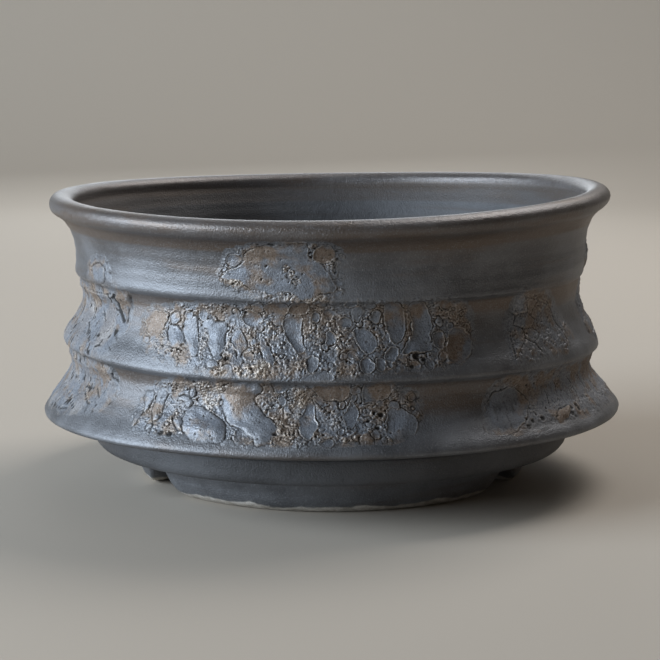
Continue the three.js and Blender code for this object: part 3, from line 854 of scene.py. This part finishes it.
# The patches at the sides, where the slip split along lines and slumped into folds on the left. Their near
# ends are placed as they look from the front, and their far ends by angle.
slip_patch(
    "crust_lower_right", SIDE_GRAIN, 11,
    edges=[as_seen([(34.5, 25.2), (34.3, 29.7), (35.9, 32.8), (38.9, 35.0), (43.5, 36.0), (49.2, 36.2),
                    (55.0, 36.2)])
           + [(75, 36.2), (88, 35.4), (93, 31.5), (102, 29.5), (97, 24.5), (86, 21.8)]
           + as_seen([(58.4, 21.6), (52.7, 22.0), (45.8, 21.7), (38.9, 21.8), (35.4, 23.3)])],
    plates=[
        (0.3, 0.1, as_seen([(34.6, 25.0), (34.7, 27.6), (36.2, 30.2), (38.6, 32.0), (41.5, 31.5),
                            (44.0, 28.5), (44.6, 25.0), (43.2, 22.8), (39.5, 21.8), (36.0, 22.6)])),
        (1.0, 0.9, as_seen(oval(52.8, 23.6, 1.5, 1.6))),
    ],
    pits=as_seen([(54.5, 24.4, 0.5), (54.9, 23.3, 0.7), (55.6, 24.5, 0.5), (56.3, 23.7, 0.6),
                  (55.8, 22.6, 0.5), (45.2, 22.6, 0.6), (45.9, 23.5, 0.5), (46.4, 24.6, 0.3),
                  (48.1, 23.6, 0.6), (48.8, 24.8, 0.2), (50.2, 23.0, 0.25), (57.2, 25.4, 0.2)])
    + splits((0.1, (50.4, 31.6), (50.9, 29.4), (51.2, 27.6)), (0.12, (53.1, 32.0), (56.5, 24.8)),
             (0.12, (54.9, 32.3), (58.6, 24.8)), (0.1, (48.6, 29.0), (49.6, 25.6))),
    pitted=as_seen([(50.0, 31.0, 8.0, 3.5, 16)]) + [(80, 29.0, 14.0, 4.0, 24)],
    folds=0.12, frothy=0.6,
)
slip_patch(
    "crust_upper_right", SIDE_GRAIN, 32,
    edges=[as_seen([(43.4, 54.6), (47.0, 54.4), (50.0, 52.8), (52.0, 46.6), (55.0, 41.6), (53.8, 38.2),
                    (47.5, 37.4), (41.4, 38.0), (39.4, 43.0), (38.6, 47.5), (40.2, 51.4)]),
           [(77, 50.5), (84, 53.4), (93, 52.4), (103, 53.2), (109, 48.5), (101, 45.0), (106, 40.5),
            (96, 37.4), (86, 38.6), (78, 37.8), (74, 43.0)]],
    pits=splits(
        (0.14, (39.8, 49.7), (41.4, 48.1), (41.0, 46.0), (43.3, 44.8), (43.8, 42.7), (46.0, 41.5),
         (47.9, 39.7)),
        (0.1, (43.7, 53.2), (43.7, 51.6), (44.1, 48.7), (45.6, 46.6), (45.1, 44.9), (47.0, 43.3),
         (46.0, 41.5)),
        (0.14, (48.2, 50.6), (49.1, 48.6), (50.0, 45.6), (51.9, 43.1), (53.3, 40.9)),
        (0.1, (43.7, 52.6), (46.6, 51.1), (48.2, 49.7)), (0.1, (41.4, 48.1), (44.1, 48.7)),
        (0.1, (40.6, 43.9), (41.3, 41.2), (42.0, 39.0), (42.8, 40.6), (43.8, 42.7)),
        (0.1, (43.3, 44.8), (45.1, 44.9)),
    ),
    pitted=as_seen([(46.0, 44.0, 6.0, 6.0, 24)]) + [(92, 45.0, 14.0, 6.0, 24)],
    frothy=0.8,
)
slip_patch(
    "crust_lower_left", SIDE_GRAIN, 25,
    edges=[[(-109, 27.0), (-101, 30.5), (-104, 34.0), (-92, 36.0)]
           + as_seen([(-58.9, 36.0), (-54.3, 36.2), (-51.8, 36.0), (-49.7, 35.0), (-48.3, 31.9),
                      (-48.5, 28.7), (-50.4, 26.2), (-54.3, 23.6), (-58.9, 22.4), (-62.3, 21.4)])
           + [(-86, 21.2), (-97, 22.4), (-103, 24.8)]],
    pits=splits(
        (0.35, (-60.6, 26.2), (-59.7, 25.0)), (0.5, (-59.3, 24.8), (-58.9, 23.4)),
        (0.3, (-55.9, 27.0), (-55.5, 25.0)), (0.3, (-63.0, 22.2), (-61.9, 22.2), (-60.5, 22.8)),
        (0.25, (-49.3, 33.4), (-49.2, 32.0)), (0.3, (-51.8, 24.9), (-51.4, 24.4)),
        (0.3, (-54.8, 23.8), (-54.2, 23.4)), (0.25, (-57.6, 30.0), (-57.2, 27.8)),
        (0.25, (-53.2, 28.4), (-52.8, 26.8)),
    ),
    pitted=as_seen([(-54.0, 24.6, 5.0, 1.6, 22), (-50.2, 32.0, 1.6, 3.6, 10)]) + [(-85, 29.0, 14.0, 5.0, 30)],
    folds=0.40, frothy=0.2,
)
slip_patch(
    "crust_upper_left", SIDE_GRAIN, 46,
    edges=[[(-104, 47.0), (-97, 50.0), (-100, 53.0), (-86, 54.2)]
           + as_seen([(-55.4, 54.2), (-49.0, 54.6), (-46.0, 53.6), (-44.8, 48.6), (-46.0, 44.4),
                      (-48.8, 41.4), (-50.1, 38.8), (-53.1, 36.3), (-56.6, 35.4)])
           + [(-84, 35.4), (-96, 37.0), (-92, 40.5), (-107, 43.0)]],
    beds=as_seen([(-50.5, 44.0, 3.0, 6.0, 0.3), (-53.5, 48.0, 2.5, 4.0, 0.3)]),
    pits=splits(
        (0.6, (-48.4, 52.5), (-48.0, 51.2), (-47.6, 49.9), (-47.6, 48.4), (-47.3, 47.1), (-46.9, 46.0)),
        (0.25, (-54.3, 52.2), (-52.7, 52.2), (-51.3, 52.2), (-49.5, 52.8)),
        (0.25, (-51.4, 47.4), (-51.2, 44.8)), (0.35, (-54.8, 43.2), (-55.2, 41.0)),
        (0.3, (-53.6, 38.9), (-52.7, 39.4), (-52.0, 40.6)), (0.25, (-48.9, 42.2), (-48.7, 40.4)),
        (0.25, (-50.4, 39.6), (-50.0, 38.8)), (0.2, (-53.4, 48.8), (-53.6, 46.2)),
    ),
    pitted=as_seen([(-51.0, 42.0, 4.0, 2.0, 12), (-54.0, 38.6, 5.0, 1.6, 14)]) + [(-85, 45.0, 14.0, 6.0, 30)],
    folds=0.44, frothy=0.2,
)
slip_patch(
    "crust_collar_left", SIDE_GRAIN, 67,
    edges=[as_seen([(-55.2, 54.4), (-55.0, 57.7), (-54.1, 60.9), (-52.4, 62.2), (-50.8, 61.5), (-49.5, 59.0),
                    (-49.2, 56.0), (-49.5, 54.4)])],
    plates=[(0.0, 0.4, as_seen(oval(-52.2, 57.0, 1.4, 2.8)))],
    pitted=as_seen([(-52.6, 60.6, 2.6, 1.2, 14), (-50.2, 57.5, 1.0, 3.0, 10), (-54.0, 57.5, 1.2, 3.0, 10)]),
    folds=0.1, frothy=0.2,
)


# The patches at the back, and one on the collar's right, each laid in two overlapping daubs: where it starts
# and ends round the pot in degrees, its lowest and highest edge, and its fillers.
FAR_PATCHES = {
    "crust_lower_back": (138, 216, 21.4, 35.8, (170, 0.9, 1.0)),
    "crust_upper_back": (146, 224, 37.0, 54.0, (170, 0.9, 1.0)),
    "crust_collar_right": (78, 112, 54.6, 66.0, (50, 0.8, 1.2)),
    "crust_collar_back": (160, 200, 54.6, 66.0, (60, 0.9, 1.0)),
}
DEGREES_TO_BED = 7
PITS_TO_BED = 6


def daub(start, end, low, high, dice):
    """The edge of slip laid with one sweep of the hand between two angles and two heights."""
    points = []
    for turn in np.radians(np.arange(0, 360, 20)):
        wide = np.sign(math.cos(turn)) * abs(math.cos(turn)) ** 0.6 + dice.uniform(-0.14, 0.03)
        tall = np.sign(math.sin(turn)) * abs(math.sin(turn)) ** 0.7 + dice.uniform(-0.3, 0.04)
        points.append(((start + end + (end - start) * wide) / 2, (low + high + (high - low) * tall) / 2))
    return points


for number, (node, (start, end, low, high, filler)) in enumerate(FAR_PATCHES.items()):
    seed = 81 + 7 * number
    dice = random.Random(seed)
    reach = end - start
    beds = []
    pitted = []
    for _ in range(round(reach / DEGREES_TO_BED)):
        spot = dice.uniform(start, end), dice.uniform(low, high)
        beds.append((*spot, dice.uniform(1.0, 4.0), dice.uniform(1.5, 4.5), dice.uniform(0.0, 0.6)))
        pitted.append((*spot, dice.uniform(0.6, 3.0), dice.uniform(1.5, 4.0), PITS_TO_BED))
    edges = [
        daub(start, start + 0.65 * reach, low, high - 3.0, dice),
        daub(start + 0.4 * reach, end, low + 2.5, high, dice),
    ]
    slip_patch(node, SIDE_GRAIN, seed, edges, beds=beds, pitted=pitted, filler=filler)


# The studio is a pale sweep of paper under the pot, with one broad soft lamp at the left, two weak ones
# behind and pale surroundings. The camera stands a little above the rim, half a metre in front.
FLOOR_COLOUR = (0.44, 0.395, 0.34, 1)
SWEEP_FRONT = -2.0
SWEEP_BACK = 0.75
SWEEP_RADIUS = 0.35
SWEEP_HEIGHT = 1.6
SWEEP_HALF_WIDTH = 2.5
SWEEP_STEPS = 16
SURROUNDINGS = (1.0, 0.90, 0.80, 1)
SURROUNDINGS_STRENGTH = 0.095
CAMERA_PLACE = (-0.0003, -0.5444, 0.1195)
CAMERA_PITCH = 8.55
CAMERA_LENS = 114.0
# Each lamp is its place, the point it is turned to, its size, its power in watts and its colour.
LAMPS = {
    "window_lamp": ((-1.06, -0.34, 0.31), (0, 0, 0.04), 0.9, 28.5, (0.78, 0.89, 1.0)),
    "top_lamp": ((0.38, 0.42, 0.78), (0, 0, 0.05), 0.5, 5.0, (1.0, 0.97, 0.94)),
    "back_lamp": ((-0.08, 0.78, 0.30), (0, 0, 0.06), 0.4, 1.1, (0.86, 0.93, 1.0)),
}

paper, tree, shader = new_finish("studio_paper")
set_inputs(tree, shader, {"Base Color": FLOOR_COLOUR, "Roughness": 0.9})
bm = bmesh.new()
sweep = [(SWEEP_FRONT, 0.0), (SWEEP_BACK, 0.0)]
for turn in np.radians(np.arange(1, SWEEP_STEPS + 1) * 90 / SWEEP_STEPS):
    sweep.append((SWEEP_BACK + SWEEP_RADIUS * math.sin(turn), SWEEP_RADIUS * (1 - math.cos(turn))))
sweep.append((SWEEP_BACK + SWEEP_RADIUS, SWEEP_HEIGHT))
ring = [bm.verts.new((-SWEEP_HALF_WIDTH, y, z)) for y, z in sweep]
edges = [bm.edges.new(pair) for pair in zip(ring, ring[1:])]
made = bmesh.ops.extrude_edge_only(bm, edges=edges)["geom"]
far_side = [item for item in made if isinstance(item, bmesh.types.BMVert)]
bmesh.ops.translate(bm, verts=far_side, vec=(2 * SWEEP_HALF_WIDTH, 0, 0))
bmesh.ops.recalc_face_normals(bm, faces=bm.faces[:])
floor = new_object(bm, "paper_sweep", paper)

for name, (place, aim, size, power, colour) in LAMPS.items():
    lamp = bpy.data.lights.new(name, "AREA")
    lamp.size = size
    lamp.energy = power
    lamp.color = colour
    stand = bpy.data.objects.new(name, lamp)
    stand.location = place
    stand.rotation_euler = (Vector(aim) - Vector(place)).to_track_quat("-Z", "Y").to_euler()
    bpy.context.scene.collection.objects.link(stand)

world = bpy.data.worlds.new("studio")
world.use_nodes = True
light = {"Color": SURROUNDINGS, "Strength": SURROUNDINGS_STRENGTH}
set_inputs(world.node_tree, world.node_tree.nodes["Background"], light)
bpy.context.scene.world = world

camera = bpy.data.cameras.new("camera")
camera.lens = CAMERA_LENS
camera.sensor_width = 36.0
camera.clip_start = 0.01
viewer = bpy.data.objects.new("camera", camera)
viewer.location = CAMERA_PLACE
viewer.rotation_euler = (math.radians(90 - CAMERA_PITCH), 0, 0)
bpy.context.scene.collection.objects.link(viewer)
bpy.context.scene.camera = viewer
bpy.context.scene.view_settings.view_transform = "Standard"
